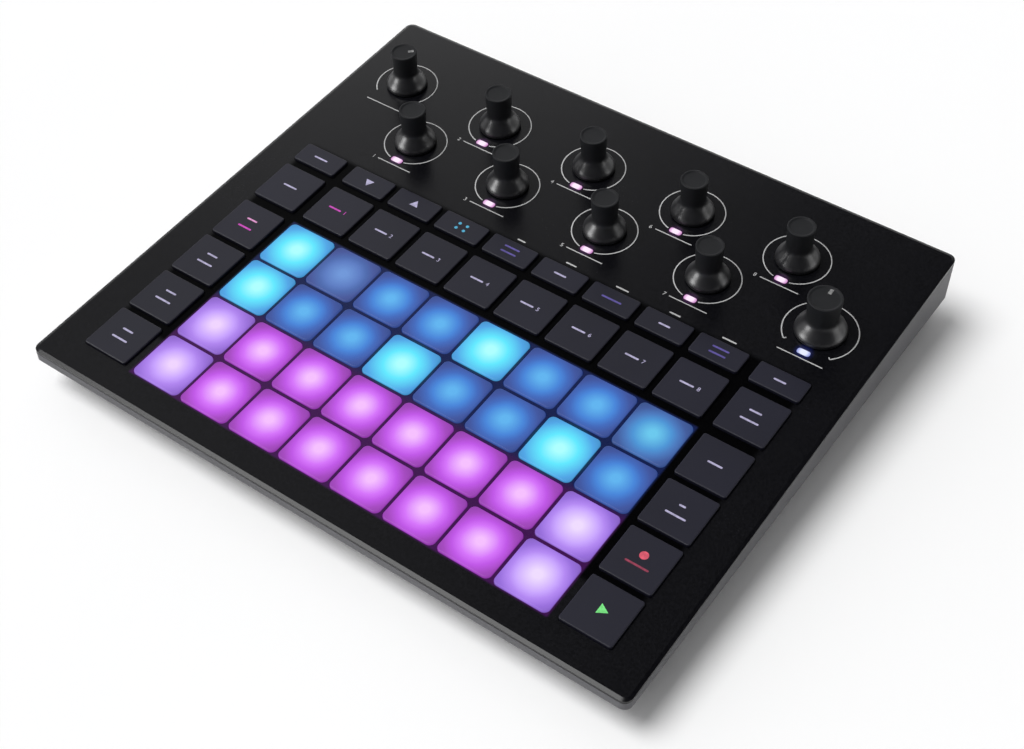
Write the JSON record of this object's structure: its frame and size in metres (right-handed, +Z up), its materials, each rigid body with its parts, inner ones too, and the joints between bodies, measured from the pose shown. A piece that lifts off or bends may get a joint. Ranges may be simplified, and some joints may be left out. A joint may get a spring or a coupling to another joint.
{
  "type": "groovebox",
  "caption": "Table-top groovebox: wedge case with a grid of lit pads framed by buttons, tall knobs behind them and audio, sync and data sockets in the rear wall.",
  "frame": {"origin": "on the table, under the middle of the case in plan", "axes": "+X to the player's right, +Y to the rear where the sockets are, +Z up"},
  "size_m": [0.24, 0.2096, 0.0446],
  "materials": {
    "panel": "fine matt grain, near black",
    "tray": "fine matt grain, dark grey",
    "button_plastic": "satin",
    "knob_plastic": "soft satin, glossy skirt",
    "pad_cyan": "translucent silicone, lit from below",
    "pad_blue": "translucent silicone, lit from below",
    "pad_magenta": "translucent silicone, lit from below",
    "pad_lavender": "translucent silicone, lit from below",
    "foot_rubber": "matt",
    "mat_rubber": "translucent silicone",
    "screw_steel": "black zinc",
    "board": "solder mask",
    "rotary_metal": "zinc plated",
    "light_window": "diffuse acrylic",
    "socket_black": "moulded",
    "shell_steel": "nickel plated",
    "battery_wrap": "heat-shrink wrap"
  },
  "bodies": {
    "case": {"bottom_case": "tray", "top_case": "panel", "rubber_feet": "foot_rubber", "screws": "screw_steel", "key_mat": "mat_rubber", "control_board": "board", "main_board": "board", "rotary_bodies": "rotary_metal", "led_windows": "light_window", "midi_sockets": "socket_black", "audio_jacks": "socket_black", "data_sockets": "shell_steel", "battery_pack": "battery_wrap"},
    "macro_knob_1": {"macro_knob_1": "knob_plastic"},
    "macro_knob_2": {"macro_knob_2": "knob_plastic"},
    "macro_knob_3": {"macro_knob_3": "knob_plastic"},
    "macro_knob_4": {"macro_knob_4": "knob_plastic"},
    "macro_knob_5": {"macro_knob_5": "knob_plastic"},
    "macro_knob_6": {"macro_knob_6": "knob_plastic"},
    "macro_knob_7": {"macro_knob_7": "knob_plastic"},
    "macro_knob_8": {"macro_knob_8": "knob_plastic"},
    "master_volume_knob": {"master_volume_knob": "knob_plastic"},
    "master_filter_knob": {"master_filter_knob": "knob_plastic"},
    "slim_button_row": {"slim_button_row": "button_plastic"},
    "wide_button_row": {"wide_button_row": "button_plastic"},
    "left_button_column": {"left_button_column": "button_plastic"},
    "right_button_column": {"right_button_column": "button_plastic"},
    "power_button": {"power_button": "button_plastic"},
    "pad_1_1": {"pad_1_1": "pad_cyan"},
    "pad_1_2": {"pad_1_2": "pad_blue"},
    "pad_1_3": {"pad_1_3": "pad_blue"},
    "pad_1_4": {"pad_1_4": "pad_blue"},
    "pad_1_5": {"pad_1_5": "pad_cyan"},
    "pad_1_6": {"pad_1_6": "pad_blue"},
    "pad_1_7": {"pad_1_7": "pad_blue"},
    "pad_1_8": {"pad_1_8": "pad_blue"},
    "pad_2_1": {"pad_2_1": "pad_cyan"},
    "pad_2_2": {"pad_2_2": "pad_blue"},
    "pad_2_3": {"pad_2_3": "pad_blue"},
    "pad_2_4": {"pad_2_4": "pad_cyan"},
    "pad_2_5": {"pad_2_5": "pad_blue"},
    "pad_2_6": {"pad_2_6": "pad_blue"},
    "pad_2_7": {"pad_2_7": "pad_cyan"},
    "pad_2_8": {"pad_2_8": "pad_blue"},
    "pad_3_1": {"pad_3_1": "pad_lavender"},
    "pad_3_2": {"pad_3_2": "pad_magenta"},
    "pad_3_3": {"pad_3_3": "pad_magenta"},
    "pad_3_4": {"pad_3_4": "pad_magenta"},
    "pad_3_5": {"pad_3_5": "pad_magenta"},
    "pad_3_6": {"pad_3_6": "pad_magenta"},
    "pad_3_7": {"pad_3_7": "pad_magenta"},
    "pad_3_8": {"pad_3_8": "pad_lavender"},
    "pad_4_1": {"pad_4_1": "pad_lavender"},
    "pad_4_2": {"pad_4_2": "pad_magenta"},
    "pad_4_3": {"pad_4_3": "pad_magenta"},
    "pad_4_4": {"pad_4_4": "pad_magenta"},
    "pad_4_5": {"pad_4_5": "pad_magenta"},
    "pad_4_6": {"pad_4_6": "pad_magenta"},
    "pad_4_7": {"pad_4_7": "pad_magenta"},
    "pad_4_8": {"pad_4_8": "pad_lavender"}
  },
  "joints": [
    {"name": "macro_knob_1_turn", "type": "hinge", "parent": "case", "child": "macro_knob_1", "pos_m": [-0.0738, 0.0484, 0.02677], "axis": [0, -0.0637, 0.998], "continuous": true},
    {"name": "macro_knob_2_turn", "type": "hinge", "parent": "case", "child": "macro_knob_2", "pos_m": [-0.0526, 0.07315, 0.02835], "axis": [0, -0.0637, 0.998], "continuous": true},
    {"name": "macro_knob_3_turn", "type": "hinge", "parent": "case", "child": "macro_knob_3", "pos_m": [-0.0314, 0.0484, 0.02677], "axis": [0, -0.0637, 0.998], "continuous": true},
    {"name": "macro_knob_4_turn", "type": "hinge", "parent": "case", "child": "macro_knob_4", "pos_m": [-0.0102, 0.07315, 0.02835], "axis": [0, -0.0637, 0.998], "continuous": true},
    {"name": "macro_knob_5_turn", "type": "hinge", "parent": "case", "child": "macro_knob_5", "pos_m": [0.011, 0.0484, 0.02677], "axis": [0, -0.0637, 0.998], "continuous": true},
    {"name": "macro_knob_6_turn", "type": "hinge", "parent": "case", "child": "macro_knob_6", "pos_m": [0.0322, 0.07315, 0.02835], "axis": [0, -0.0637, 0.998], "continuous": true},
    {"name": "macro_knob_7_turn", "type": "hinge", "parent": "case", "child": "macro_knob_7", "pos_m": [0.0534, 0.0484, 0.02677], "axis": [0, -0.0637, 0.998], "continuous": true},
    {"name": "macro_knob_8_turn", "type": "hinge", "parent": "case", "child": "macro_knob_8", "pos_m": [0.0746, 0.07315, 0.02835], "axis": [0, -0.0637, 0.998], "continuous": true},
    {"name": "master_volume_turn", "type": "hinge", "parent": "case", "child": "master_volume_knob", "pos_m": [-0.0971, 0.07315, 0.02835], "axis": [0, -0.0637, 0.998], "range_deg": [-96.5, 183.5]},
    {"name": "master_filter_turn", "type": "hinge", "parent": "case", "child": "master_filter_knob", "pos_m": [0.0971, 0.0484, 0.02677], "axis": [0, -0.0637, 0.998], "range_deg": [-140, 140]},
    {"name": "slim_button_row_press", "type": "slide", "parent": "case", "child": "slim_button_row", "axis": [0, 0.0637, -0.998], "range_m": [0, 0.0012], "stiffness_N_per_m": 3000},
    {"name": "wide_button_row_press", "type": "slide", "parent": "case", "child": "wide_button_row", "axis": [0, 0.0637, -0.998], "range_m": [0, 0.0012], "stiffness_N_per_m": 3000},
    {"name": "left_button_column_press", "type": "slide", "parent": "case", "child": "left_button_column", "axis": [0, 0.0637, -0.998], "range_m": [0, 0.0012], "stiffness_N_per_m": 3000},
    {"name": "right_button_column_press", "type": "slide", "parent": "case", "child": "right_button_column", "axis": [0, 0.0637, -0.998], "range_m": [0, 0.0012], "stiffness_N_per_m": 3000},
    {"name": "power_button_press", "type": "slide", "parent": "case", "child": "power_button", "axis": [0, -1, 0], "range_m": [0, 0.0015], "stiffness_N_per_m": 1500},
    {"name": "pad_1_1_press", "type": "slide", "parent": "case", "child": "pad_1_1", "axis": [0, 0.0637, -0.998], "range_m": [0, 0.0012], "stiffness_N_per_m": 900},
    {"name": "pad_1_2_press", "type": "slide", "parent": "case", "child": "pad_1_2", "axis": [0, 0.0637, -0.998], "range_m": [0, 0.0012], "stiffness_N_per_m": 900},
    {"name": "pad_1_3_press", "type": "slide", "parent": "case", "child": "pad_1_3", "axis": [0, 0.0637, -0.998], "range_m": [0, 0.0012], "stiffness_N_per_m": 900},
    {"name": "pad_1_4_press", "type": "slide", "parent": "case", "child": "pad_1_4", "axis": [0, 0.0637, -0.998], "range_m": [0, 0.0012], "stiffness_N_per_m": 900},
    {"name": "pad_1_5_press", "type": "slide", "parent": "case", "child": "pad_1_5", "axis": [0, 0.0637, -0.998], "range_m": [0, 0.0012], "stiffness_N_per_m": 900},
    {"name": "pad_1_6_press", "type": "slide", "parent": "case", "child": "pad_1_6", "axis": [0, 0.0637, -0.998], "range_m": [0, 0.0012], "stiffness_N_per_m": 900},
    {"name": "pad_1_7_press", "type": "slide", "parent": "case", "child": "pad_1_7", "axis": [0, 0.0637, -0.998], "range_m": [0, 0.0012], "stiffness_N_per_m": 900},
    {"name": "pad_1_8_press", "type": "slide", "parent": "case", "child": "pad_1_8", "axis": [0, 0.0637, -0.998], "range_m": [0, 0.0012], "stiffness_N_per_m": 900},
    {"name": "pad_2_1_press", "type": "slide", "parent": "case", "child": "pad_2_1", "axis": [0, 0.0637, -0.998], "range_m": [0, 0.0012], "stiffness_N_per_m": 900},
    {"name": "pad_2_2_press", "type": "slide", "parent": "case", "child": "pad_2_2", "axis": [0, 0.0637, -0.998], "range_m": [0, 0.0012], "stiffness_N_per_m": 900},
    {"name": "pad_2_3_press", "type": "slide", "parent": "case", "child": "pad_2_3", "axis": [0, 0.0637, -0.998], "range_m": [0, 0.0012], "stiffness_N_per_m": 900},
    {"name": "pad_2_4_press", "type": "slide", "parent": "case", "child": "pad_2_4", "axis": [0, 0.0637, -0.998], "range_m": [0, 0.0012], "stiffness_N_per_m": 900},
    {"name": "pad_2_5_press", "type": "slide", "parent": "case", "child": "pad_2_5", "axis": [0, 0.0637, -0.998], "range_m": [0, 0.0012], "stiffness_N_per_m": 900},
    {"name": "pad_2_6_press", "type": "slide", "parent": "case", "child": "pad_2_6", "axis": [0, 0.0637, -0.998], "range_m": [0, 0.0012], "stiffness_N_per_m": 900},
    {"name": "pad_2_7_press", "type": "slide", "parent": "case", "child": "pad_2_7", "axis": [0, 0.0637, -0.998], "range_m": [0, 0.0012], "stiffness_N_per_m": 900},
    {"name": "pad_2_8_press", "type": "slide", "parent": "case", "child": "pad_2_8", "axis": [0, 0.0637, -0.998], "range_m": [0, 0.0012], "stiffness_N_per_m": 900},
    {"name": "pad_3_1_press", "type": "slide", "parent": "case", "child": "pad_3_1", "axis": [0, 0.0637, -0.998], "range_m": [0, 0.0012], "stiffness_N_per_m": 900},
    {"name": "pad_3_2_press", "type": "slide", "parent": "case", "child": "pad_3_2", "axis": [0, 0.0637, -0.998], "range_m": [0, 0.0012], "stiffness_N_per_m": 900},
    {"name": "pad_3_3_press", "type": "slide", "parent": "case", "child": "pad_3_3", "axis": [0, 0.0637, -0.998], "range_m": [0, 0.0012], "stiffness_N_per_m": 900},
    {"name": "pad_3_4_press", "type": "slide", "parent": "case", "child": "pad_3_4", "axis": [0, 0.0637, -0.998], "range_m": [0, 0.0012], "stiffness_N_per_m": 900},
    {"name": "pad_3_5_press", "type": "slide", "parent": "case", "child": "pad_3_5", "axis": [0, 0.0637, -0.998], "range_m": [0, 0.0012], "stiffness_N_per_m": 900},
    {"name": "pad_3_6_press", "type": "slide", "parent": "case", "child": "pad_3_6", "axis": [0, 0.0637, -0.998], "range_m": [0, 0.0012], "stiffness_N_per_m": 900},
    {"name": "pad_3_7_press", "type": "slide", "parent": "case", "child": "pad_3_7", "axis": [0, 0.0637, -0.998], "range_m": [0, 0.0012], "stiffness_N_per_m": 900},
    {"name": "pad_3_8_press", "type": "slide", "parent": "case", "child": "pad_3_8", "axis": [0, 0.0637, -0.998], "range_m": [0, 0.0012], "stiffness_N_per_m": 900},
    {"name": "pad_4_1_press", "type": "slide", "parent": "case", "child": "pad_4_1", "axis": [0, 0.0637, -0.998], "range_m": [0, 0.0012], "stiffness_N_per_m": 900},
    {"name": "pad_4_2_press", "type": "slide", "parent": "case", "child": "pad_4_2", "axis": [0, 0.0637, -0.998], "range_m": [0, 0.0012], "stiffness_N_per_m": 900},
    {"name": "pad_4_3_press", "type": "slide", "parent": "case", "child": "pad_4_3", "axis": [0, 0.0637, -0.998], "range_m": [0, 0.0012], "stiffness_N_per_m": 900},
    {"name": "pad_4_4_press", "type": "slide", "parent": "case", "child": "pad_4_4", "axis": [0, 0.0637, -0.998], "range_m": [0, 0.0012], "stiffness_N_per_m": 900},
    {"name": "pad_4_5_press", "type": "slide", "parent": "case", "child": "pad_4_5", "axis": [0, 0.0637, -0.998], "range_m": [0, 0.0012], "stiffness_N_per_m": 900},
    {"name": "pad_4_6_press", "type": "slide", "parent": "case", "child": "pad_4_6", "axis": [0, 0.0637, -0.998], "range_m": [0, 0.0012], "stiffness_N_per_m": 900},
    {"name": "pad_4_7_press", "type": "slide", "parent": "case", "child": "pad_4_7", "axis": [0, 0.0637, -0.998], "range_m": [0, 0.0012], "stiffness_N_per_m": 900},
    {"name": "pad_4_8_press", "type": "slide", "parent": "case", "child": "pad_4_8", "axis": [0, 0.0637, -0.998], "range_m": [0, 0.0012], "stiffness_N_per_m": 900}
  ]
}
